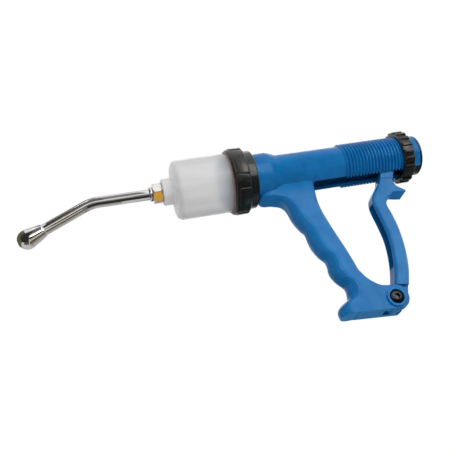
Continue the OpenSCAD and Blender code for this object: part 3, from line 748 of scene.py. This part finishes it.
@dataclass
class Studio:
    """The floor, lights, surroundings and camera. Sizes in metres."""

    floor_at: Point = (-0.15, 0.0, -0.1300)
    floor_side: float = 6.0
    floor_shade: Colour = (0.50, 0.50, 0.49)
    floor_colour: Colour = (0.53, 0.53, 0.525)
    floor_cloud_mm: float = 400.0
    floor_cloud_detail: float = 2.0
    floor_glow_colour: Colour = (1.0, 1.0, 0.99)
    floor_glow: float = 0.24
    ambient_colour: Colour = (0.95, 0.97, 1.0)
    ambient: float = 0.32
    camera_at: Point = (-0.251638, -0.432212, -0.248061)
    camera_right: Point = (0.9666, -0.1098, -0.2315)
    camera_back: Point = (-0.2024, -0.8812, -0.4273)
    camera_near: float = 0.01
    sensor_mm: float = 36.0
    lens_mm: float = 51.05

    def build(self) -> None:
        """Makes everything round the object."""
        self.build_world()
        self.build_floor()
        for item in LAMPS + CARDS:
            item.build()
        self.build_camera()

    def build_world(self) -> None:
        """Surrounds the object with white and lights it softly."""
        world = bpy.data.worlds.new("studio")
        bpy.context.scene.world = world
        world.use_nodes = True
        tree = world.node_tree
        tree.nodes.clear()
        out = tree.nodes.new("ShaderNodeOutputWorld")
        mix = tree.nodes.new("ShaderNodeMixShader")
        soft = tree.nodes.new("ShaderNodeBackground")
        soft.inputs["Color"].default_value = (*self.ambient_colour, 1)
        soft.inputs["Strength"].default_value = self.ambient
        white = tree.nodes.new("ShaderNodeBackground")
        white.inputs["Color"].default_value = (1, 1, 1, 1)
        white.inputs["Strength"].default_value = 1.0
        path = tree.nodes.new("ShaderNodeLightPath")
        shown = path.outputs["Is Camera Ray"]
        for ray in ("Is Glossy Ray", "Is Transmission Ray"):
            both = tree.nodes.new("ShaderNodeMath")
            both.operation = "MAXIMUM"
            tree.links.new(shown, both.inputs[0])
            tree.links.new(path.outputs[ray], both.inputs[1])
            shown = both.outputs["Value"]
        tree.links.new(shown, mix.inputs[0])
        tree.links.new(soft.outputs[0], mix.inputs[1])
        tree.links.new(white.outputs[0], mix.inputs[2])
        tree.links.new(mix.outputs[0], out.inputs["Surface"])

    def build_floor(self) -> None:
        """Lays a pale floor under the foot, open to a camera below it."""
        s = Shading("pale_floor")
        clouds = s.noise(self.floor_cloud_mm, self.floor_cloud_detail)
        tone = s.tint(clouds, NOISE_EDGES, self.floor_shade, self.floor_colour)
        lit = s.node("BsdfDiffuse", Color=tone)
        glow = s.node("Emission", Color=(*self.floor_glow_colour, 1), Strength=self.floor_glow)
        pale = s.node("AddShader")
        s.tree.links.new(lit.outputs[0], pale.inputs[0])
        s.tree.links.new(glow.outputs[0], pale.inputs[1])
        clear = s.node("BsdfTransparent")
        mix = s.node("MixShader", Fac=s.node("NewGeometry").outputs["Backfacing"])
        s.tree.links.new(pale.outputs[0], mix.inputs[1])
        s.tree.links.new(clear.outputs[0], mix.inputs[2])
        floor = add_sheet("floor", (self.floor_side, self.floor_side), s.close(mix))
        floor.location = self.floor_at
        floor.visible_shadow = False

    def build_camera(self) -> None:
        """Sets the camera where the photograph was taken."""
        right = Vector(self.camera_right).normalized()
        back = Vector(self.camera_back)
        back = (back - right * back.dot(right)).normalized()
        up = back.cross(right)
        data = bpy.data.cameras.new("camera")
        data.sensor_width = self.sensor_mm
        data.lens = self.lens_mm
        data.clip_start = self.camera_near
        camera = bpy.data.objects.new("camera", data)
        turn = Matrix((right, up, back)).transposed().to_4x4()
        camera.matrix_world = Matrix.Translation(self.camera_at) @ turn
        bpy.context.scene.collection.objects.link(camera)
        bpy.context.scene.camera = camera


def main() -> None:
    """Builds the studio and dresses every sub-assembly."""
    logging.basicConfig(level=logging.INFO, format="%(name)s: %(message)s")
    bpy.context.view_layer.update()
    bpy.context.scene.view_settings.view_transform = "Standard"
    palette = Palette()
    Studio().build()
    for group in (GunBody(), Barrel(), Nozzle(), Lever(), Piston(), DoseNut()):
        group.dress(palette)


if __name__ == "__main__":
    main()
